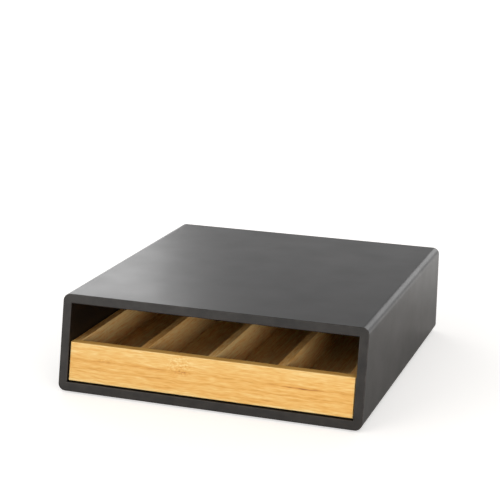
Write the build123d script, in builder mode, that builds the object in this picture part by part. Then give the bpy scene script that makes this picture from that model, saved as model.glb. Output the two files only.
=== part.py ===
from build123d import *
import os
from math import atan2, cos, sin, sqrt, tan

# Coffee pod drawer: a low open-fronted box of black lacquered board with a flat top that takes a load,
# and a bamboo drawer in four long compartments that slides out of its front.
# Millimetres, +Z up, front facing -Y. The origin is the centre of the footprint, at ground level.

# Case
case_width = 310.0
case_depth = 330.0
case_height = 95.0  # over the boards, without the feet
board = 9.0  # thickness of the four case boards
corner_radius = 7.0  # round on the four long outer corners
front_set_back = 17.5  # how far the top front edge lies behind the bottom front edge
arris = 0.8  # small round on the front and rear edges of the boards
mitre_spline = (5.0, 2.0)  # width across the mitre and thickness of the spline glued in each corner
spline_from_corner = 6.0  # along the mitre, from the inner corner to the middle of the spline
spline_stop = 25.0  # the splines end this far from the front and the rear
back_panel_thickness = 3.0
rabbet_width = 6.0  # ledge round the rear of the opening, which the back panel lies in
rabbet_depth = 3.5
pin_diameter = 1.4
pin_length = 11.0
pin_head = (3.0, 0.5)  # diameter and thickness
foot_diameter = 14.0
foot_height = 1.5
foot_inset = 20.0  # from the sides and ends of the case to the middle of a foot

# Drawer
bamboo = 8.0  # thickness of the front, walls and dividers
drawer_height = 38.0
drawer_side_gap = 1.0
front_recess = 2.0  # the drawer front lies this far behind the case's front edges
front_easing = 1.0  # round on the edges of the drawer front
wall_easing = 0.6  # round on the top edges of the walls and dividers
floor_panel_thickness = 4.0
floor_panel_lift = 4.0  # from the drawer's lower edge to the underside of its floor
floor_tongue = 3.8  # how far the floor panel reaches into the grooves
divider_count = 3
dowel_diameter = 4.0
dowel_length = 14.0
dowel_bite = 5.0  # depth of the dowel holes in the board that the dowel crosses

# Running parts
glide_width = 12.0
glide_length = 280.0
glide_thickness = 0.7
bumper_diameter = 10.0
bumper_thickness = 2.0
bumper_spacing = 200.0
running_clearance = 0.3  # between the closed drawer and its glides and bumpers
fit = 0.2  # play round a panel in its groove
glue_gap = 0.05  # play round a dowel, spline or pin in its hole

# Worked out from the above
slope = atan2(front_set_back, case_height)
front_y, rear_y = -case_depth / 2, case_depth / 2
case_bottom = foot_height
case_middle_z = case_bottom + case_height / 2
case_floor_z = case_bottom + board
opening_width = case_width - 2 * board
opening_height = case_height - 2 * board
panel_y = rear_y - rabbet_depth  # front face of the back panel
drawer_bottom = case_floor_z + glide_thickness + running_clearance
drawer_top = drawer_bottom + drawer_height
drawer_width = opening_width - 2 * drawer_side_gap
drawer_rear_y = panel_y - bumper_thickness - running_clearance
rear_wall_y = drawer_rear_y - bamboo  # inner face of the drawer's rear wall
inner_width = drawer_width - 2 * bamboo
floor_z = drawer_bottom + floor_panel_lift
floor_top = floor_z + floor_panel_thickness
compartment_pitch = (inner_width + bamboo) / (divider_count + 1)
divider_places = [(i - (divider_count - 1) / 2) * compartment_pitch for i in range(divider_count)]
wall_middle = (drawer_width - bamboo) / 2  # from the centre line to the middle of a side wall
dowel_heights = [drawer_bottom + 15.0, drawer_bottom + 29.0]
divider_dowel_height = drawer_bottom + 24.0

os.makedirs("parts", exist_ok=True)


def save(builder, label):
    builder.part.label = label
    export_step(builder.part, f"parts/{label}.step")


def sloped_y(z, depth):
    """Y of the plane that lies depth behind the sloping front of the case, at height z."""
    return front_y + (z - case_bottom) * tan(slope) + depth / cos(slope)


def sloped_plane(depth):
    """The plane that lies depth behind the sloping front, facing out of it."""
    facing = (0, -cos(slope), sin(slope))
    return Plane(origin=(0, sloped_y(case_bottom, depth), case_bottom), x_dir=(1, 0, 0), z_dir=facing)


def facing_front(y):
    """The upright plane at y, with X to the right and Z up. What is extruded from it goes forwards."""
    return Plane.XZ.offset(-y)


# ---------------------------------------------------------------- case boards
# The four boards are mitred together, so they are cut from one tube along the mitres.
pin_rows = GridLocations(opening_width / 3, opening_height + rabbet_width, 4, 2).locations
pin_sides = GridLocations(opening_width + rabbet_width, 0, 2, 1).locations
pin_places = [Location((0, case_middle_z)) * place for place in pin_rows + pin_sides]
spline_offset = spline_from_corner / sqrt(2)
corners = {
    "top_left": (-1, 1),
    "top_right": (1, 1),
    "bottom_left": (-1, -1),
    "bottom_right": (1, -1),
}


def spline_place(side, level):
    """Where the spline of a corner lies, turned to cross the mitre squarely."""
    x = side * (opening_width / 2 + spline_offset)
    z = case_middle_z + level * (opening_height / 2 + spline_offset)
    return Location((x, z), -45 * side * level)


with BuildPart() as carcass:
    with BuildSketch(facing_front(rear_y)):
        with Locations((0, case_middle_z)):
            RectangleRounded(case_width, case_height, corner_radius)
            Rectangle(opening_width, opening_height, mode=Mode.SUBTRACT)
    extrude(amount=case_depth)
    split(bisect_by=sloped_plane(0), keep=Keep.BOTTOM)
    fillet(carcass.faces().sort_by(Axis.Y)[0].edges(), arris)
    fillet(carcass.faces().sort_by(Axis.Y)[-1].outer_wire().edges(), arris)
    with BuildSketch(facing_front(rear_y)):
        with Locations((0, case_middle_z)):
            Rectangle(opening_width + 2 * rabbet_width, opening_height + 2 * rabbet_width)
    extrude(amount=rabbet_depth, mode=Mode.SUBTRACT)
    with BuildSketch(facing_front(panel_y)):
        with Locations(*pin_places):
            Circle(pin_diameter / 2 + glue_gap)
    extrude(amount=pin_length - back_panel_thickness + fit, mode=Mode.SUBTRACT)
    with BuildSketch(facing_front(rear_y - spline_stop)):
        for side, level in corners.values():
            with Locations(spline_place(side, level)):
                Rectangle(mitre_spline[0] + fit, mitre_spline[1] + 2 * glue_gap)
    extrude(amount=case_depth - 2 * spline_stop, mode=Mode.SUBTRACT)



def mitre(name, width, height):
    """The corner of that name of a width by height rectangle about the middle of the case's front view."""
    side, level = corners[name]
    return (side * width / 2, case_middle_z + level * height / 2)


board_ends = {
    "case_top": ("top_left", "top_right"),
    "case_bottom": ("bottom_left", "bottom_right"),
    "case_left_side": ("top_left", "bottom_left"),
    "case_right_side": ("top_right", "bottom_right"),
}
for label, ends in board_ends.items():
    outside = [mitre(name, case_width, case_height) for name in ends]
    inside = [mitre(name, opening_width, opening_height) for name in reversed(ends)]
    with BuildPart() as case_board:
        add(carcass.part)
        with BuildSketch(facing_front(rear_y)):
            with BuildLine():
                Polyline(*outside, *inside, close=True)
            make_face()
        extrude(amount=case_depth, mode=Mode.INTERSECT)
    save(case_board, label)

for name, (side, level) in corners.items():
    with BuildPart() as mitre_key:
        with BuildSketch(facing_front(rear_y - spline_stop - fit)):
            with Locations(spline_place(side, level)):
                Rectangle(*mitre_spline)
        extrude(amount=case_depth - 2 * spline_stop - 2 * fit)
    save(mitre_key, f"mitre_spline_{name}")

# ---------------------------------------------------------------- back of the case
panel_size = (opening_width + 2 * (rabbet_width - fit), opening_height + 2 * (rabbet_width - fit))
panel_back_y = panel_y + back_panel_thickness

with BuildPart() as back_panel:
    with BuildSketch(facing_front(panel_back_y)):
        with Locations((0, case_middle_z)):
            Rectangle(*panel_size)
    extrude(amount=back_panel_thickness)
    with BuildSketch(facing_front(panel_back_y)):
        with Locations(*pin_places):
            Circle(pin_diameter / 2 + glue_gap)
    extrude(amount=back_panel_thickness, mode=Mode.SUBTRACT)
    with BuildSketch(facing_front(panel_back_y)):
        with Locations(*pin_places):
            Circle(pin_head[0] / 2 + glue_gap)
    extrude(amount=pin_head[1], mode=Mode.SUBTRACT)
save(back_panel, "back_panel")

with BuildPart() as back_panel_pins:
    with BuildSketch(facing_front(panel_back_y)):
        with Locations(*pin_places):
            Circle(pin_head[0] / 2)
    extrude(amount=pin_head[1])
    with BuildSketch(facing_front(panel_back_y)):
        with Locations(*pin_places):
            Circle(pin_diameter / 2)
    extrude(amount=pin_length)
save(back_panel_pins, "back_panel_pins")

# ---------------------------------------------------------------- feet, glides and bumpers
foot_x = case_width / 2 - foot_inset
foot_y = case_depth / 2 - foot_inset
foot_corners = {
    "foot_front_left": (-foot_x, -foot_y),
    "foot_front_right": (foot_x, -foot_y),
    "foot_rear_left": (-foot_x, foot_y),
    "foot_rear_right": (foot_x, foot_y),
}
for label, place in foot_corners.items():
    with BuildPart() as foot:
        with BuildSketch():
            with Locations(place):
                Circle(foot_diameter / 2)
        extrude(amount=foot_height)
        fillet(foot.faces().sort_by(Axis.Z)[0].edges(), foot_height / 3)
    save(foot, label)

glide_x = (opening_width - glide_width) / 2 - drawer_side_gap
for label, side in {"glide_strip_left": -1, "glide_strip_right": 1}.items():
    with BuildPart() as glide:
        with BuildSketch(Plane.XY.offset(case_floor_z)):
            with Locations((side * glide_x, 0)):
                Rectangle(glide_width, glide_length)
        extrude(amount=glide_thickness)
    save(glide, label)

for label, side in {"rear_bumper_left": -1, "rear_bumper_right": 1}.items():
    with BuildPart() as bumper:
        with BuildSketch(facing_front(panel_y)):
            with Locations((side * bumper_spacing / 2, drawer_bottom + drawer_height / 2)):
                Circle(bumper_diameter / 2)
        extrude(amount=bumper_thickness)
    save(bumper, label)

# ---------------------------------------------------------------- drawer
front_inner = front_recess + bamboo  # depth of the drawer front's inner face behind the case's front
panel_middle_z = floor_z + floor_panel_thickness / 2
floor_front_y = sloped_y(panel_middle_z, front_inner) - floor_tongue
floor_rear_y = rear_wall_y + floor_tongue
floor_width = inner_width + 2 * floor_tongue
floor_length = floor_rear_y - floor_front_y
floor_place = (0, (floor_front_y + floor_rear_y) / 2, panel_middle_z)

# Dowels, each by the point where it crosses a joint and the direction into the board that it crosses
forwards, backwards = (0, -1, 0), (0, 1, 0)
wall_ends = {
    side: [((side * wall_middle, sloped_y(z, front_inner), z), forwards) for z in dowel_heights]
    for side in (-1, 1)
}
rear_corners = {
    side: [((side * inner_width / 2, drawer_rear_y - bamboo / 2, z), (side, 0, 0)) for z in dowel_heights]
    for side in (-1, 1)
}
divider_fronts = {
    x: ((x, sloped_y(divider_dowel_height, front_inner), divider_dowel_height), forwards)
    for x in divider_places
}
divider_rears = {x: ((x, rear_wall_y, divider_dowel_height), backwards) for x in divider_places}


def dowel_rods(joints, radius, length, mode):
    """Round rods across the joints: the dowels themselves, or with Mode.SUBTRACT their holes."""
    to_middle = dowel_bite - dowel_length / 2
    starts = [Plane(origin=point, z_dir=into).offset(to_middle).location for point, into in joints]
    with Locations(*starts):
        Cylinder(radius, length, mode=mode)


def drill(joints):
    """Drills the dowel holes of the joints in the board in work."""
    dowel_rods(joints, dowel_diameter / 2 + glue_gap, dowel_length, Mode.SUBTRACT)


def cut_floor_groove():
    """Cuts the groove that the floor panel is let into, from the board in work."""
    groove = (floor_width + 2 * fit, floor_length + 2 * fit, floor_panel_thickness + 2 * glue_gap)
    with Locations(floor_place):
        Box(*groove, mode=Mode.SUBTRACT)


def side_view(far_y, low):
    """Corners of the side view of a wall or divider, from the drawer front back to far_y."""
    foot, head = sloped_y(low, front_inner), sloped_y(drawer_top, front_inner)
    return [(foot, low), (far_y, low), (far_y, drawer_top), (head, drawer_top)]


with BuildPart() as drawer_front:
    with BuildSketch(Plane.YZ):
        with BuildLine():
            Polyline(
                (sloped_y(drawer_bottom, front_recess), drawer_bottom),
                (sloped_y(drawer_bottom, front_inner), drawer_bottom),
                (sloped_y(drawer_top, front_inner), drawer_top),
                (sloped_y(drawer_top, front_recess), drawer_top),
                close=True,
            )
        make_face()
    extrude(amount=drawer_width / 2, both=True)
    fillet(drawer_front.faces().sort_by(Axis.Y)[0].edges(), front_easing)
    cut_floor_groove()
    drill(wall_ends[-1] + wall_ends[1] + list(divider_fronts.values()))
save(drawer_front, "drawer_front")

for label, side in {"drawer_left_wall": -1, "drawer_right_wall": 1}.items():
    with BuildPart() as wall:
        with BuildSketch(Plane.YZ.offset(side * wall_middle)):
            with BuildLine():
                Polyline(*side_view(drawer_rear_y, drawer_bottom), close=True)
            make_face()
        extrude(amount=bamboo / 2, both=True)
        fillet(wall.faces().sort_by(Axis.Z)[-1].edges().filter_by(Axis.Y), wall_easing)
        cut_floor_groove()
        drill(wall_ends[side] + rear_corners[side])
    save(wall, label)

with BuildPart() as drawer_rear_wall:
    with BuildSketch(Plane.YZ):
        with Locations((rear_wall_y + bamboo / 2, drawer_bottom + drawer_height / 2)):
            Rectangle(bamboo, drawer_height)
    extrude(amount=inner_width / 2, both=True)
    fillet(drawer_rear_wall.faces().sort_by(Axis.Z)[-1].edges().filter_by(Axis.X), wall_easing)
    cut_floor_groove()
    drill(rear_corners[-1] + rear_corners[1] + list(divider_rears.values()))
save(drawer_rear_wall, "drawer_rear_wall")

with BuildPart() as drawer_floor:
    with Locations(floor_place):
        Box(floor_width, floor_length, floor_panel_thickness)
save(drawer_floor, "drawer_floor")

for label, x in zip(("divider_left", "divider_centre", "divider_right"), divider_places):
    with BuildPart() as divider:
        with BuildSketch(Plane.YZ.offset(x)):
            with BuildLine():
                Polyline(*side_view(rear_wall_y, floor_top), close=True)
            make_face()
        extrude(amount=bamboo / 2, both=True)
        fillet(divider.faces().sort_by(Axis.Z)[-1].edges().filter_by(Axis.Y), wall_easing)
        drill([divider_fronts[x], divider_rears[x]])
    save(divider, label)

# ---------------------------------------------------------------- dowels of the drawer
dowel_groups = {
    "front_dowels": wall_ends[-1] + wall_ends[1] + list(divider_fronts.values()),
    "rear_corner_dowels": rear_corners[-1] + rear_corners[1],
    "rear_divider_dowels": list(divider_rears.values()),
}
for label, joints in dowel_groups.items():
    with BuildPart() as dowels:
        dowel_rods(joints, dowel_diameter / 2, dowel_length - fit, Mode.ADD)
    save(dowels, label)
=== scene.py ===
import math

import bmesh
import bpy
from mathutils import Euler, Matrix, Vector, noise


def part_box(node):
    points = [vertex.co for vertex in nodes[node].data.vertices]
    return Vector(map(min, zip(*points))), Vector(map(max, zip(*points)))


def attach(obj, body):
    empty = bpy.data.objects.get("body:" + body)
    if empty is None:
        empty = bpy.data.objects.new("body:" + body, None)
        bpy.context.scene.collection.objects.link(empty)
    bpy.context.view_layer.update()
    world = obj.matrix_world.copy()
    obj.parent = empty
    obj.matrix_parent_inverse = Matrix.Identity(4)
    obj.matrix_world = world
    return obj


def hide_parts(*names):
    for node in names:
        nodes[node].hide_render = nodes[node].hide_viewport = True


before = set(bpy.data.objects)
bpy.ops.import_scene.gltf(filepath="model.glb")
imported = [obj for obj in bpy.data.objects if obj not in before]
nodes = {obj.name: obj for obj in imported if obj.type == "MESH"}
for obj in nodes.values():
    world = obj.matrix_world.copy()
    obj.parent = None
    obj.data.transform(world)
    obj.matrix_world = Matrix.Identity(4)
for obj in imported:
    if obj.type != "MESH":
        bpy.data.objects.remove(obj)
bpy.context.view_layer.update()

scene = bpy.context.scene
scene.view_settings.view_transform = "Standard"
mm = 0.001
tiny = 1e-6  # metres, for telling edges that lie flat or at one height
print("frame loaded:", len(nodes), "CAD nodes")


def linearColour(hexText):
    parts = [int(hexText[i:i + 2], 16) / 255 for i in (1, 3, 5)]
    return [p / 12.92 if p <= 0.04045 else ((p + 0.055) / 1.055) ** 2.4 for p in parts] + [1.0]


def addNode(tree, kind, settings={}, *inputs):
    # settings hold the node's own options and its sockets by name; the inputs fill its sockets in order
    node = tree.nodes.new("ShaderNode" + kind)
    for name, value in [*settings.items(), *enumerate(inputs)]:
        if isinstance(value, str) and value.startswith("#"):
            value = linearColour(value)
        if name == "stops":  # a colour ramp's places and tones
            stops = node.color_ramp.elements
            while len(stops) < len(value):
                stops.new(0.5)
            for stop, (place, tone) in zip(stops, value):
                stop.position = place
                stop.color = linearColour(tone) if isinstance(tone, str) else (tone, tone, tone, 1)
        elif isinstance(value, bpy.types.Node):
            tree.links.new(value.outputs[0], node.inputs[name])
        elif isinstance(value, bpy.types.NodeSocket):
            tree.links.new(value, node.inputs[name])
        elif isinstance(name, int) or name in node.inputs:
            node.inputs[name].default_value = value
        else:
            setattr(node, name, value)
    return node


def newMaterial(name):
    material = bpy.data.materials.new(name)
    material.use_nodes = True
    tree = material.node_tree
    tree.nodes.clear()
    # the patterns are in millimetres on the object
    source = addNode(tree, "TexCoord")
    place = addNode(tree, "VectorMath", {"operation": "SCALE", "Scale": 1000.0}, source.outputs["Object"])
    return material, tree, place


def pattern(tree, place, size, detail=2.0, roughness=0.5, shift=(0, 0, 0)):
    # soft noise whose grains are as long, wide and deep as size says, in millimetres
    fitted = addNode(tree, "Mapping", {"Location": shift, "Scale": [1 / s for s in size]}, place)
    return addNode(tree, "TexNoise", {"Scale": 1.0, "Detail": detail, "Roughness": roughness, "Vector": fitted})


def addUp(tree, total, parts):
    # total plus each pattern's swing about its middle, as strong as its weight
    for source, weight in parts:
        centred = addNode(tree, "Math", {"operation": "SUBTRACT"}, source, 0.5)
        total = addNode(tree, "Math", {"operation": "MULTIPLY_ADD"}, centred, weight, total)
    return total


# The case: satin black lacquer on MDF
lacquer = {
    "tones": [(0.35, "#131110"), (0.65, "#1B1816")],
    "cloudSize": 70.0,       # how far apart thick and thin passes of the spray gun lie
    "peelSize": 1.4,         # orange peel
    "peelDepth": 0.006,
    "satin": (0.28, 0.33),   # roughness, from best to most rubbed
    "rubSize": 45.0,         # of the patches where the shine changes
    "frontSlope": 10.44,     # of the case's and drawer's front, in degrees from upright
    "arrisHighlightTone": "#4A4642",  # a painted highlight along the sharp front edges
    "arrisPatch": 14.0,      # the painted highlight comes and goes in patches at this spacing
    "arrisSlant": (0.46, 0.2),  # where the painted highlight starts and is full: 0.5 is a flat face, 0 one at 45 degrees
}


def blackLacquer():
    # MDF sprayed with satin black polyurethane lacquer: wide soft reflections, a faint orange peel,
    # and a patchy highlight painted along the front arrises
    material, tree, place = newMaterial("satin black lacquer on MDF")
    clouds = pattern(tree, place, [lacquer["cloudSize"]] * 3, 3)
    tone = addNode(tree, "ValToRGB", {"stops": lacquer["tones"]}, clouds)
    facing = addNode(tree, "TexCoord").outputs["Normal"]
    upright = addNode(tree, "VectorRotate", {"rotation_type": "X_AXIS",
                                             "Angle": math.radians(-lacquer["frontSlope"])}, facing)
    forward = addNode(tree, "SeparateXYZ", {}, upright).outputs["Y"]
    # an arris looks neither straight forward nor square to that, so its slant is under a half
    squared = addNode(tree, "Math", {"operation": "MULTIPLY"}, forward, forward)
    slant = addNode(tree, "Math", {"operation": "SUBTRACT"}, squared, 0.5)
    slant = addNode(tree, "Math", {"operation": "ABSOLUTE"}, slant)
    paintedArrisLight = addNode(tree, "MapRange", {}, slant, *lacquer["arrisSlant"], 0.0, 1.0)
    patchy = pattern(tree, place, [lacquer["arrisPatch"]] * 3, 3, 0.6)
    patchy = addNode(tree, "MapRange", {}, patchy, 0.35, 0.7, 0.25, 1.0)
    paintedArrisLight = addNode(tree, "Math", {"operation": "MULTIPLY"}, paintedArrisLight, patchy)
    # the front arrises are painted lighter in patches, as a highlight
    tone = addNode(tree, "Mix", {"data_type": "RGBA", "Factor": paintedArrisLight, 6: tone, 7: lacquer["arrisHighlightTone"]})
    satin = pattern(tree, place, [lacquer["rubSize"]] * 3, 3)
    satin = addNode(tree, "MapRange", {}, satin, 0.35, 0.7, *lacquer["satin"])
    peel = pattern(tree, place, [lacquer["peelSize"]] * 3, 1)
    bump = addNode(tree, "Bump", {"Strength": 1.0, "Distance": lacquer["peelDepth"] * mm, "Height": peel})
    shader = addNode(tree, "BsdfPrincipled", {
        "Base Color": tone.outputs[2], "Roughness": satin, "Normal": bump, "IOR": 1.5, "Specular IOR Level": 0.4})
    addNode(tree, "OutputMaterial", {}, shader)
    return material


# The drawer: laminated bamboo
bamboo = {
    "fibre": (11.0, 1.15),   # length and width of a bundle of fibres
    "ripple": (26.0, 2.0),   # the same for the softer marks
    "streak": (85.0, 2.2),
    "drift": (260.0, 9.0),
    # how the grain wanders across the board, slowly and quickly: the size of a bend, and how far it goes
    "sways": [((60.0, 16.0, 16.0), 1.6), ((14.0, 5.0, 5.0), 0.8)],
    "internode": 230.0,      # between the knuckles of one strip
    "knuckleSpan": 12.0,     # the length of grain that the knuckle's stops are shares of
    "knuckleStops": [(0.0, 0.36), (0.1, 0.66), (0.2, 0.36), (0.4, 0.5)],
    "crook": (9.0, 2.0, 2.0),   # size of the jags in a knuckle's line
    "easedFacing": (0.97, 0.75),  # how squarely flat faces look along an axis, and eased corners
    "oilSheen": (0.44, 0.56),   # roughness, on fibres and between them
    "fibreDepth": 0.05,
}


def bambooBoard(name, look):
    # Laminated bamboo, sanded, with a thin matt oil coat: fine dashes where bundles of fibres lie along
    # the strips, soft streaks, a tone of its own for each strip, pale knuckles, edges darkened partly by soaked oil
    # and partly as painted shade, and eased corners painted pale as a highlight
    material, tree, place = newMaterial(name)
    shift = look["shift"]
    facing = addNode(tree, "TexCoord").outputs["Normal"]
    if look["sloping"]:
        facing = addNode(tree, "VectorRotate", {"rotation_type": "X_AXIS",
                                                "Angle": math.radians(-lacquer["frontSlope"])}, facing)
    axes = addNode(tree, "SeparateXYZ", {}, place)
    faces = addNode(tree, "SeparateXYZ", {}, facing)
    along, across, through = (axes.outputs[axis] for axis in look["grain"])
    endFace, edgeFace, broadFace = (addNode(tree, "Math", {"operation": "ABSOLUTE"}, faces.outputs[axis])
                                    for axis in look["grain"])
    straight = addNode(tree, "CombineXYZ", {}, along, across, through)
    swayed = addUp(tree, across, [(pattern(tree, straight, bend, 1, 0.5, shift), reach * 2)
                                  for bend, reach in bamboo["sways"]])
    grain = addNode(tree, "CombineXYZ", {}, along, swayed, through)
    fibre, ripple, streak, drift = (
        pattern(tree, grain, (bamboo[kind][0], bamboo[kind][1], bamboo[kind][1]), 1, 0.6, shift)
        for kind in ("fibre", "ripple", "streak", "drift"))

    # strips, each with a tone of its own and a thin glue line between
    strip = addNode(tree, "Math", {"operation": "SUBTRACT"}, across, look["stripStart"])
    strip = addNode(tree, "Math", {"operation": "DIVIDE"}, strip, look["stripWidth"])
    number = addNode(tree, "Math", {"operation": "FLOOR"}, strip)
    ply = addNode(tree, "Math", {"operation": "DIVIDE"}, through, look["ply"])
    ply = addNode(tree, "Math", {"operation": "FLOOR"}, ply)
    own = addNode(tree, "TexWhiteNoise", {"noise_dimensions": "3D"},
                  addNode(tree, "CombineXYZ", {}, number, ply, look["seed"]))
    seam = addNode(tree, "Math", {"operation": "PINGPONG"}, strip, 0.5)
    seam = addNode(tree, "MapRange", {}, seam, 0.0, look["seamWidth"] / look["stripWidth"],
                   0.5 + look["seamDepth"], 0.5)

    # knuckles: a crooked band across the strip, dark, pale and dark again, once in each internode
    crook = pattern(tree, straight, bamboo["crook"], 2, 0.6, shift)
    knuckle = addNode(tree, "Math", {"operation": "DIVIDE"}, along, bamboo["internode"])
    knuckle = addNode(tree, "Math", {"operation": "ADD"}, knuckle, own)
    knuckle = addNode(tree, "Math", {"operation": "PINGPONG"}, knuckle, 0.5)
    knuckle = addNode(tree, "Math", {"operation": "MULTIPLY"}, knuckle, bamboo["internode"] / bamboo["knuckleSpan"])
    knuckle = addUp(tree, knuckle, [(crook, 0.5)])
    knuckle = addNode(tree, "ValToRGB", {"stops": bamboo["knuckleStops"]}, knuckle)

    depth = addUp(tree, look["depth"], [
        (fibre, look["fibres"]), (ripple, look["ripples"]), (streak, look["streaks"]), (drift, look["drifts"]),
        (own, look["strips"]), (seam, 1.0), (knuckle, look["knuckles"])])
    if "bands" in look:  # how deep the colour of the long front lies at each height
        level = addNode(tree, "MapRange", {}, swayed, *look["bandRange"], 0.0, 1.0)
        bands = addNode(tree, "ValToRGB", {"stops": look["bands"]}, level)
        depth = addUp(tree, depth, [(bands, 1.0)])
    for spot in look.get("figures", []):  # knuckles that show on the front, where and how large, at any depth
        apart = addNode(tree, "VectorMath", {"operation": "SUBTRACT"}, straight, (*spot["centre"], 0.0))
        apart = addNode(tree, "VectorMath", {"operation": "DIVIDE"}, apart, (*spot["size"], 1e6))
        near = addNode(tree, "VectorMath", {"operation": "LENGTH"}, apart).outputs["Value"]
        near = addNode(tree, "MapRange", {}, near, 0.35, 1.0, 1.0, 0.0)
        flecks = pattern(tree, straight, spot["flecks"], 3, 0.7, spot["centre"] + (0,))
        flecks = addNode(tree, "Math", {"operation": "SUBTRACT"}, flecks, spot["paler"])
        flecks = addNode(tree, "Math", {"operation": "MULTIPLY"}, flecks, near)
        depth = addNode(tree, "Math", {"operation": "MULTIPLY_ADD"}, flecks, spot["strength"], depth)
    # end grain drinks more oil and turns browner; the long narrow edges are darker, partly from soaked oil and
    # partly as painted shade, and eased corners are painted pale as a highlight
    soakedAndShaded = addNode(tree, "Math", {"operation": "MULTIPLY"}, endFace, look["soakedEnds"])
    soakedAndShaded = addNode(tree, "Math", {"operation": "MULTIPLY_ADD"}, edgeFace, look["soakedShadedEdges"], soakedAndShaded)
    square = addNode(tree, "Math", {"operation": "MAXIMUM"}, endFace,
                     addNode(tree, "Math", {"operation": "MAXIMUM"}, edgeFace, broadFace))
    eased = addNode(tree, "MapRange", {}, square, *bamboo["easedFacing"], 0.0, look["easedHighlight"])
    depth = addNode(tree, "Math", {"operation": "ADD"}, depth, soakedAndShaded)
    depth = addNode(tree, "Math", {"operation": "SUBTRACT", "use_clamp": True}, depth, eased)
    tone = addNode(tree, "ValToRGB", {"stops": look["tones"]}, depth)
    oil = addNode(tree, "MapRange", {}, fibre, 0.3, 0.7, *bamboo["oilSheen"])
    bump = addNode(tree, "Bump", {"Strength": 1.0, "Distance": bamboo["fibreDepth"] * mm, "Height": fibre})
    shader = addNode(tree, "BsdfPrincipled", {"Base Color": tone, "Roughness": oil, "Normal": bump, "IOR": 1.48})
    addNode(tree, "OutputMaterial", {}, shader)
    return material


# a look's depth is where the board's plain colour lies among its tones, and the other weights shift it from
# there; grain names the axes along and across the grain and through the board, and sizes are in millimetres
wallLook = {
    "tones": [(0.0, "#F8DA9C"), (0.28, "#F0C380"), (0.46, "#E9B36B"), (0.64, "#DDA057"),
              (0.82, "#C48542"), (1.0, "#965F2E")],
    # the inner boards' depth is set paler than the front's, partly painted light that lifts the shade inside the
    # drawer
    "grain": "YZX", "sloping": False, "shift": (3.1, 0.0, 7.7), "seed": 5.0, "depth": 0.22,
    "stripStart": 11.5, "stripWidth": 19.0, "ply": 60.0, "seamWidth": 0.4, "seamDepth": 0.14,
    "fibres": 0.8, "ripples": 0.5, "streaks": 0.6, "drifts": 0.4, "strips": 0.16, "knuckles": 0.8,
    "soakedEnds": 0.22, "soakedShadedEdges": 0.16, "easedHighlight": 0.12,
}
rearLook = {**wallLook, "grain": "XZY", "shift": (11.3, 5.0, 2.2), "seed": 9.0}
floorLook = {**wallLook, "grain": "YXZ", "shift": (1.9, 8.0, 4.4), "seed": 2.0, "stripStart": -150.0,
             "stripWidth": 21.0, "soakedShadedEdges": 0.0}
frontLook = {
    **wallLook, "grain": "XZY", "sloping": True, "shift": (6.0, 2.5, 0.0), "seed": 3.0, "depth": 0.40,
    "tones": [(0.0, "#FADB98"), (0.28, "#F1C475"), (0.46, "#ECB662"), (0.64, "#E2A752"),
              (0.82, "#CF9145"), (1.0, "#A06B32")],
    "stripWidth": 38.0, "seamDepth": 0.0, "strips": 0.0, "knuckles": 0.0, "easedHighlight": 0.6, "soakedShadedEdges": 0.24,
    "fibres": 0.75, "ripples": 0.45, "streaks": 0.25, "drifts": 0.22, "bandRange": (11.5, 49.5),
    # the palest stop, along the bottom edge, is painted light that lifts the shade at the foot of the front
    "bands": [(0.0, 0.10), (0.06, 0.40), (0.13, 0.50), (0.16, 0.60), (0.2, 0.50), (0.31, 0.50), (0.355, 0.69),
              (0.4, 0.50), (0.52, 0.52), (0.575, 0.74), (0.63, 0.50), (1.0, 0.38)],
    "figures": [
        {"centre": (-29.5, 40.0), "size": (17.0, 12.5), "flecks": (2.6, 1.5, 1.5), "strength": 2.0, "paler": 0.51},
        {"centre": (-25.0, 33.0), "size": (11.0, 3.2), "flecks": (3.0, 1.8, 1.8), "strength": 1.2, "paler": 0.40},
        {"centre": (-108.0, 35.5), "size": (15.0, 3.4), "flecks": (5.0, 1.6, 1.6), "strength": 1.2, "paler": 0.44},
        {"centre": (96.0, 33.0), "size": (24.0, 1.8), "flecks": (30.0, 1.5, 1.5), "strength": 0.6, "paler": 0.2},
    ],
}


backSheet = {
    "tones": [(0.3, "#221F1D"), (0.7, "#312D2A")], "cloudSize": 35.0,
    "wireSpacing": 1.8, "gritSize": 0.7, "waffleShare": 0.4, "reliefDepth": 0.06,
}


def hardboard():
    # 3 mm hardboard, painted black: the wire mesh of the press shows as a fine waffle in its back
    material, tree, place = newMaterial("painted hardboard")
    clouds = pattern(tree, place, [backSheet["cloudSize"]] * 3, 4, 0.6)
    tone = addNode(tree, "ValToRGB", {"stops": backSheet["tones"]}, clouds)
    axes = addNode(tree, "SeparateXYZ", {}, place)
    waves = []
    for axis in "XZ":
        turn = addNode(tree, "Math", {"operation": "MULTIPLY"}, axes.outputs[axis],
                       2 * math.pi / backSheet["wireSpacing"])
        waves.append(addNode(tree, "Math", {"operation": "SINE"}, turn))
    waffle = addNode(tree, "Math", {"operation": "MULTIPLY"}, *waves)
    grit = pattern(tree, place, [backSheet["gritSize"]] * 3, 2, 0.6)
    height = addNode(tree, "Math", {"operation": "MULTIPLY_ADD"}, waffle, backSheet["waffleShare"], grit)
    bump = addNode(tree, "Bump", {"Strength": 1.0, "Distance": backSheet["reliefDepth"] * mm, "Height": height})
    shader = addNode(tree, "BsdfPrincipled", {"Base Color": tone, "Normal": bump, "IOR": 1.5, "Roughness": 0.62})
    addNode(tree, "OutputMaterial", {}, shader)
    return material


veneers = {
    "tones": [(0.3, "#8A6236"), (0.42, "#D9B98A"), (0.7, "#E6CDA4")], "layer": (0.7, 60.0, 0.7),
}


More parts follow.
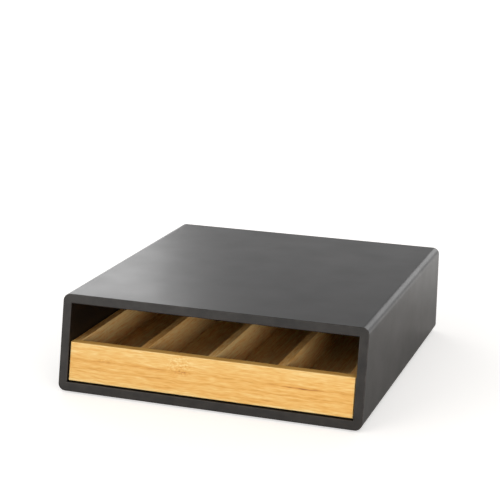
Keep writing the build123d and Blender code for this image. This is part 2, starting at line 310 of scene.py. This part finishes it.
def birchPly():
    # birch plywood cut in thin strips: dark glue lines between 0.7 mm veneers
    material, tree, place = newMaterial("birch plywood")
    tone = addNode(tree, "ValToRGB", {"stops": veneers["tones"]}, pattern(tree, place, veneers["layer"]))
    shader = addNode(tree, "BsdfPrincipled", {"Base Color": tone, "IOR": 1.5, "Roughness": 0.65})
    addNode(tree, "OutputMaterial", {}, shader)
    return material


plating = {
    "tones": [(0.3, "#8F9091"), (0.7, "#C4C6C8")], "spotSize": 0.6, "shine": (0.5, 0.28),
}


def zincPlatedSteel():
    # zinc-plated steel pins: a bright grey metal, dulled in spots
    material, tree, place = newMaterial("zinc plated steel")
    spots = pattern(tree, place, [plating["spotSize"]] * 3, 3, 0.6)
    tone = addNode(tree, "ValToRGB", {"stops": plating["tones"]}, spots)
    shine = addNode(tree, "MapRange", {}, spots, 0.3, 0.7, *plating["shine"])
    shader = addNode(tree, "BsdfPrincipled", {"Base Color": tone, "Metallic": 1.0, "Roughness": shine})
    addNode(tree, "OutputMaterial", {}, shader)
    return material


rubberSkin = {
    "tones": [(0.35, "#141414"), (0.75, "#262626")], "bloomSize": 4.0, "grainSize": 0.3, "grainDepth": 0.03,
}


def mouldedRubber():
    # moulded nitrile rubber: dull black, bloomed in places, with a fine mould grain
    material, tree, place = newMaterial("moulded nitrile rubber")
    bloom = pattern(tree, place, [rubberSkin["bloomSize"]] * 3, 4, 0.6)
    tone = addNode(tree, "ValToRGB", {"stops": rubberSkin["tones"]}, bloom)
    grain = pattern(tree, place, [rubberSkin["grainSize"]] * 3)
    bump = addNode(tree, "Bump", {"Strength": 1.0, "Distance": rubberSkin["grainDepth"] * mm, "Height": grain})
    shader = addNode(tree, "BsdfPrincipled", {"Base Color": tone, "Normal": bump, "IOR": 1.52, "Roughness": 0.78})
    addNode(tree, "OutputMaterial", {}, shader)
    return material


tape = {
    "tones": [(0.3, "#C9C5BA"), (0.7, "#DAD7CE")], "dragLine": (0.35, 120.0, 0.35), "shine": (0.28, 0.42),
}


def nylonTape():
    # extruded nylon tape: milky and waxy, with fine drag lines along its length
    material, tree, place = newMaterial("extruded nylon")
    drag = pattern(tree, place, tape["dragLine"])
    tone = addNode(tree, "ValToRGB", {"stops": tape["tones"]}, drag)
    shine = addNode(tree, "MapRange", {}, drag, 0.3, 0.7, *tape["shine"])
    shader = addNode(tree, "BsdfPrincipled", {"Base Color": tone, "IOR": 1.53, "Roughness": shine})
    addNode(tree, "OutputMaterial", {}, shader)
    return material


feltMat = {
    "tones": [(0.4, "#232323"), (0.75, "#55534F")],
    "levelHair": (0.9, 0.25, 0.25), "uprightHair": (0.25, 0.25, 0.9), "depth": 0.15,
}


def woolFelt():
    # pressed wool felt: matted fibres, no shine, a soft halo of loose hairs
    material, tree, place = newMaterial("pressed wool felt")
    level = pattern(tree, place, feltMat["levelHair"], 4, 0.7)
    upright = pattern(tree, place, feltMat["uprightHair"], 4, 0.7, (7, 3, 1))
    mat = addNode(tree, "Math", {"operation": "MAXIMUM"}, level, upright)
    tone = addNode(tree, "ValToRGB", {"stops": feltMat["tones"]}, mat)
    bump = addNode(tree, "Bump", {"Strength": 1.0, "Distance": feltMat["depth"] * mm, "Height": mat})
    shader = addNode(tree, "BsdfPrincipled", {
        "Base Color": tone, "Normal": bump, "IOR": 1.45, "Roughness": 0.95,
        "Sheen Weight": 0.35, "Sheen Roughness": 0.5, "Specular IOR Level": 0.2})
    addNode(tree, "OutputMaterial", {}, shader)
    return material


beech = {
    "tones": [(0.35, "#B98A5E"), (0.5, "#DDB98C"), (0.8, "#E7C9A0")], "fleck": (0.5, 3.0, 0.5),
}


def beechRod():
    # turned beech dowels: pale pinkish wood with short darker flecks
    material, tree, place = newMaterial("turned beech")
    tone = addNode(tree, "ValToRGB", {"stops": beech["tones"]}, pattern(tree, place, beech["fleck"], 3, 0.6))
    shader = addNode(tree, "BsdfPrincipled", {"Base Color": tone, "IOR": 1.5, "Roughness": 0.6})
    addNode(tree, "OutputMaterial", {}, shader)
    return material


print("making materials")
steel, rubber, nylon, felt = zincPlatedSteel(), mouldedRubber(), nylonTape(), woolFelt()
finishes = {
    blackLacquer(): ["case_top", "case_bottom", "case_left_side", "case_right_side"],
    hardboard(): ["back_panel"],
    birchPly(): ["mitre_spline_top_left", "mitre_spline_top_right", "mitre_spline_bottom_left",
                 "mitre_spline_bottom_right"],
    steel: ["back_panel_pins"],
    rubber: ["foot_front_left", "foot_front_right", "foot_rear_left", "foot_rear_right"],
    nylon: ["glide_strip_left", "glide_strip_right"],
    felt: ["rear_bumper_left", "rear_bumper_right"],
    bambooBoard("laminated bamboo, front", frontLook): ["drawer_front"],
    bambooBoard("laminated bamboo, walls", wallLook): [
        "drawer_left_wall", "drawer_right_wall", "divider_left", "divider_centre", "divider_right"],
    bambooBoard("laminated bamboo, rear wall", rearLook): ["drawer_rear_wall"],
    bambooBoard("bamboo plywood, floor", floorLook): ["drawer_floor"],
    beechRod(): ["front_dowels", "rear_corner_dowels", "rear_divider_dowels"],
}
for finish, owners in finishes.items():
    for owner in owners:
        for holder in nodes[owner].material_slots:
            holder.material = finish


# Small parts, turned or cut with bmesh in place of their CAD nodes
def turned(mesh, profile, centre, axis, steps):
    # profile is radius and height along the axis, in millimetres, from one pole to the other
    axis = Vector(axis)
    outward = axis.orthogonal().normalized()
    rim = [mesh.verts.new(Vector(centre) + (outward * radius + axis * height) * mm) for radius, height in profile]
    edges = [mesh.edges.new(pair) for pair in zip(rim, rim[1:])]
    bmesh.ops.spin(mesh, geom=rim + edges, cent=Vector(centre), axis=axis, dvec=(0, 0, 0), angle=2 * math.pi,
                   steps=steps, use_merge=True, use_duplicate=False)


def newPiece(name, mesh, body, slotName, finish, *replaced):
    bmesh.ops.remove_doubles(mesh, verts=mesh.verts, dist=0.002 * mm)
    bmesh.ops.recalc_face_normals(mesh, faces=mesh.faces)
    data = bpy.data.meshes.new(name)
    mesh.to_mesh(data)
    mesh.free()
    data.materials.append(finish)
    piece = bpy.data.objects.new(name, data)
    scene.collection.objects.link(piece)
    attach(piece, body)
    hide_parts(*replaced)


print("turning pins")
pins = {
    "columns": [column * 97.333 - 146 for column in range(4)], "rows": (-41.5, 41.5),
    "ends": (-149, 149), "middle": 49,  # the two at the sides, and the height of the panel's middle
    "rear": 164.5,           # the panel's outer face
    # a shallow dished head, a short neck, three ring grooves and a point
    "profile": [(0, -0.12), (0.55, -0.1), (1.1, -0.02), (1.3, 0), (1.44, -0.06), (1.5, -0.2), (1.46, -0.4),
                (1.2, -0.5), (0.7, -0.55), (0.7, -2.5), (0.62, -2.7), (0.7, -2.9), (0.7, -3.9), (0.62, -4.1),
                (0.7, -4.3), (0.7, -5.3), (0.62, -5.5), (0.7, -5.7), (0.7, -9.6), (0.3, -10.6), (0, -11)],
    "steps": 20,
}
pinPlaces = [(x, row) for x in pins["columns"] for row in pins["rows"]] + [(x, 0) for x in pins["ends"]]
pinMesh = bmesh.new()
for x, row in pinPlaces:
    centre = (x * mm, pins["rear"] * mm, (pins["middle"] + row) * mm)
    turned(pinMesh, pins["profile"], centre, (0, 1, 0), pins["steps"])
newPiece("panel_pins", pinMesh, "case", "steel_pins", steel, "back_panel_pins")

print("moulding feet")
feet = {
    # a flat top under the case, a drafted wall, a soft lower edge, one ring groove and a dimple
    "profile": [(0, 1.5), (5.0, 1.5), (7.0, 1.5), (7.0, 1.0), (6.9, 0.5), (6.6, 0.15), (6.1, 0), (5.3, 0),
                (5.0, 0.25), (4.5, 0.25), (4.2, 0), (2.6, 0), (2.3, 0.08), (1.9, 0.38), (0, 0.45)],
    "steps": 48,
}
for corner in ("front_left", "front_right", "rear_left", "rear_right"):
    low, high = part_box("foot_" + corner)
    footMesh = bmesh.new()
    centre = ((low.x + high.x) / 2, (low.y + high.y) / 2, low.z)
    turned(footMesh, feet["profile"], centre, (0, 0, 1), feet["steps"])
    newPiece("rubber_foot_" + corner, footMesh, "case", "rubber_feet", rubber, "foot_" + corner)

print("punching bumpers")
bumpers = {
    "profile": [(0, 0), (2.5, 0), (4.75, 0), (4.95, 0.3), (4.97, 0.8), (4.97, 1.3), (4.85, 1.7), (4.4, 1.93),
                (3.4, 1.97), (1.8, 1.97), (0, 1.97)],
    "steps": 56,
    "fuzz": 0.09,            # how rough the punched edge is
    "fuzzScale": 2500,       # its hairs, to the metre
    "edgeFrom": 4.0,         # the punched edge starts this far from the middle
}
for side in ("left", "right"):
    low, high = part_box("rear_bumper_" + side)
    centre = Vector(((low.x + high.x) / 2, high.y, (low.z + high.z) / 2))
    bumperMesh = bmesh.new()
    turned(bumperMesh, bumpers["profile"], centre, (0, -1, 0), bumpers["steps"])
    for vert in bumperMesh.verts:
        spread = Vector((vert.co.x - centre.x, 0, vert.co.z - centre.z))
        pull = noise.noise(vert.co * bumpers["fuzzScale"]) * 0.5 - 0.5
        if spread.length > bumpers["edgeFrom"] * mm:
            vert.co += spread.normalized() * pull * bumpers["fuzz"] * mm
    newPiece("felt_bumper_" + side, bumperMesh, "case", "felt_bumper", felt, "rear_bumper_" + side)

print("cutting glide strips")
glides = {
    "cornerRadius": 3.0,
    "shoulder": 1.3,         # the lower border round the raised middle
    "rise": 0.18,
    "edge": 0.12,
}
for side in ("left", "right"):
    low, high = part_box("glide_strip_" + side)
    glideMesh = bmesh.new()
    base = high.z - glides["rise"] * mm
    bmesh.ops.create_cube(glideMesh, size=1.0, matrix=Matrix.Translation(
        ((low.x + high.x) / 2, (low.y + high.y) / 2, (low.z + base) / 2)) @ Matrix.Diagonal(
        (high.x - low.x, high.y - low.y, base - low.z, 1)))
    upright = [edge for edge in glideMesh.edges if abs(edge.verts[0].co.z - edge.verts[1].co.z) > tiny]
    bmesh.ops.bevel(glideMesh, geom=upright, offset=glides["cornerRadius"] * mm, segments=6, profile=0.5,
                    affect="EDGES", material=-1)
    lid = [face for face in glideMesh.faces if face.normal.z > 0.9]
    bmesh.ops.inset_region(glideMesh, faces=lid, thickness=glides["shoulder"] * mm, depth=0)
    raised = bmesh.ops.extrude_face_region(glideMesh, geom=lid)
    bmesh.ops.translate(glideMesh, vec=(0, 0, glides["rise"] * mm),
                        verts=[item for item in raised["geom"] if isinstance(item, bmesh.types.BMVert)])
    bmesh.ops.delete(glideMesh, geom=lid, context="FACES")
    ridge = [edge for edge in glideMesh.edges if all(abs(vert.co.z - high.z) < tiny for vert in edge.verts)]
    bmesh.ops.bevel(glideMesh, geom=ridge, offset=glides["edge"] * mm, segments=2, profile=0.5, affect="EDGES",
                    material=-1)
    newPiece("nylon_glide_" + side, glideMesh, "case", "nylon_glide", nylon, "glide_strip_" + side)


# Studio: a sheet of white paper, a white world and four softboxes
studio = {
    "cameraPlace": (0.45271, -1.36427, 0.49822), "lens": 102.85,
    "turned": 18.82, "lookingDown": 14.77, "roll": 0.77,  # degrees
    "paperTones": [(0.0, "#EAE6E1"), (1.0, "#F0ECE8")], "paperGrain": 2.5, "paperReach": 6.0,
    "lifts": (0.50, 0.80),           # how much the paper glows to the eye near the case and far from it
    "liftSpan": (250.0, 1500.0),     # mm out from the middle, where the first and the second hold
    "mirrored": (300.0, 600.0),      # mm out, where the paper in the gloss of the case starts and ends to glow
    "ambient": 0.56, "ambientTone": "#F4F6F8",
    "ceiling": (5.0, 24.0),          # degrees up, where the white of the room in gloss starts and ends to dim
    "ceilingWhite": 0.3,             # and what is left of it there
    "aim": (0, 0, 0.05),             # what the softboxes face, in the middle of the case
}
softboxes = {
    "keySoftbox": {"place": (-1.2, -1.8, 0.95), "size": (1.5, 1.2), "watts": 12.5, "tone": "#FFFDFA"},
    "rearSoftbox": {"place": (-1.3, 1.45, 0.82), "size": (1.2, 0.9), "watts": 7.5, "tone": "#FFFFFF"},
    "rimSoftbox": {"place": (0.5, 2.2, 0.8), "size": (1.0, 0.9), "watts": 5, "tone": "#FFFFFF"},
    "fillSoftbox": {"place": (1.4, -1.8, 0.42), "size": (1.0, 0.6), "watts": 19.5, "tone": "#FFF6EC",
                    "shows": False},  # it reaches into the drawer, and would glare on the top in rear views
}

print("placing camera and lamps")
cameraData = bpy.data.cameras.new("studioCamera")
cameraData.lens = studio["lens"]
cameraData.sensor_width = 36.0
cameraData.clip_start = 0.02
camera = bpy.data.objects.new("studioCamera", cameraData)
scene.collection.objects.link(camera)
looking = Euler((math.radians(90 - studio["lookingDown"]), 0, math.radians(studio["turned"])))
camera.matrix_world = (Matrix.Translation(studio["cameraPlace"]) @ looking.to_matrix().to_4x4()
                       @ Matrix.Rotation(math.radians(studio["roll"]), 4, "Z"))
scene.camera = camera

for name, softbox in softboxes.items():
    lampData = bpy.data.lights.new(name, "AREA")
    lampData.shape = "RECTANGLE"
    lampData.size, lampData.size_y = softbox["size"]
    lampData.energy = softbox["watts"]
    lampData.color = linearColour(softbox["tone"])[:3]
    lamp = bpy.data.objects.new(name, lampData)
    scene.collection.objects.link(lamp)
    lamp.visible_glossy = softbox.get("shows", True)
    away = Vector(softbox["place"]) - Vector(studio["aim"])
    lamp.matrix_world = Matrix.Translation(softbox["place"]) @ away.to_track_quat("Z", "Y").to_matrix().to_4x4()


def seenRays(tree):
    # one for a ray straight from the eye, and one for a ray that the eye follows in gloss or through glass
    rays = addNode(tree, "LightPath")
    mirrored = addNode(tree, "Math", {"operation": "MAXIMUM"}, rays.outputs["Is Glossy Ray"],
                       rays.outputs["Is Transmission Ray"])
    return rays.outputs["Is Camera Ray"], mirrored


# the room is white to the eye, and in gloss it is white low down and dims towards the ceiling
room = bpy.data.worlds.new("studioRoom")
scene.world = room
room.use_nodes = True
tree = room.node_tree
tree.nodes.clear()
direct, mirrored = seenRays(tree)
up = addNode(tree, "SeparateXYZ", {}, addNode(tree, "TexCoord").outputs["Generated"]).outputs["Z"]
low, high = (math.sin(math.radians(angle)) for angle in studio["ceiling"])
dimmed = addNode(tree, "MapRange", {}, up, low, high, 1.0, studio["ceilingWhite"])
whiteness = addNode(tree, "Math", {"operation": "MAXIMUM"}, dimmed, direct)
fill = addNode(tree, "Background", {"Color": studio["ambientTone"], "Strength": studio["ambient"]})
white = addNode(tree, "Background", {"Color": "#FFFFFF", "Strength": whiteness})
seen = addNode(tree, "Math", {"operation": "MAXIMUM"}, direct, mirrored)
addNode(tree, "OutputWorld", {}, addNode(tree, "MixShader", {}, seen, fill, white))

paper, tree, place = newMaterial("matt white paper")
grain = pattern(tree, place, [studio["paperGrain"]] * 3, 3)
tone = addNode(tree, "ValToRGB", {"stops": studio["paperTones"]}, grain)
matt = addNode(tree, "BsdfDiffuse", {}, tone)
# the lamps reach the paper less and less further out, and there it glows more to stay white
direct, mirrored = seenRays(tree)
outward = addNode(tree, "VectorMath", {"operation": "LENGTH"}, place).outputs["Value"]
lift = addNode(tree, "MapRange", {}, outward, *studio["liftSpan"], *studio["lifts"])
turnsWhite = addNode(tree, "MapRange", {}, outward, *studio["mirrored"], 0.0, 1.0)
mirrored = addNode(tree, "Math", {"operation": "MULTIPLY"}, mirrored, turnsWhite)
seen = addNode(tree, "Math", {"operation": "MAXIMUM"}, direct, mirrored)
lift = addNode(tree, "Math", {"operation": "MULTIPLY"}, seen, lift)
glow = addNode(tree, "Emission", {"Color": "#FFFFFF", "Strength": lift})
addNode(tree, "OutputMaterial", {}, addNode(tree, "AddShader", {}, matt, glow))
floorMesh = bmesh.new()
bmesh.ops.create_grid(floorMesh, x_segments=4, y_segments=4, size=studio["paperReach"])
floorData = bpy.data.meshes.new("studioFloor")
floorMesh.to_mesh(floorData)
floorMesh.free()
floorData.materials.append(paper)
floor = bpy.data.objects.new("studioFloor", floorData)
scene.collection.objects.link(floor)
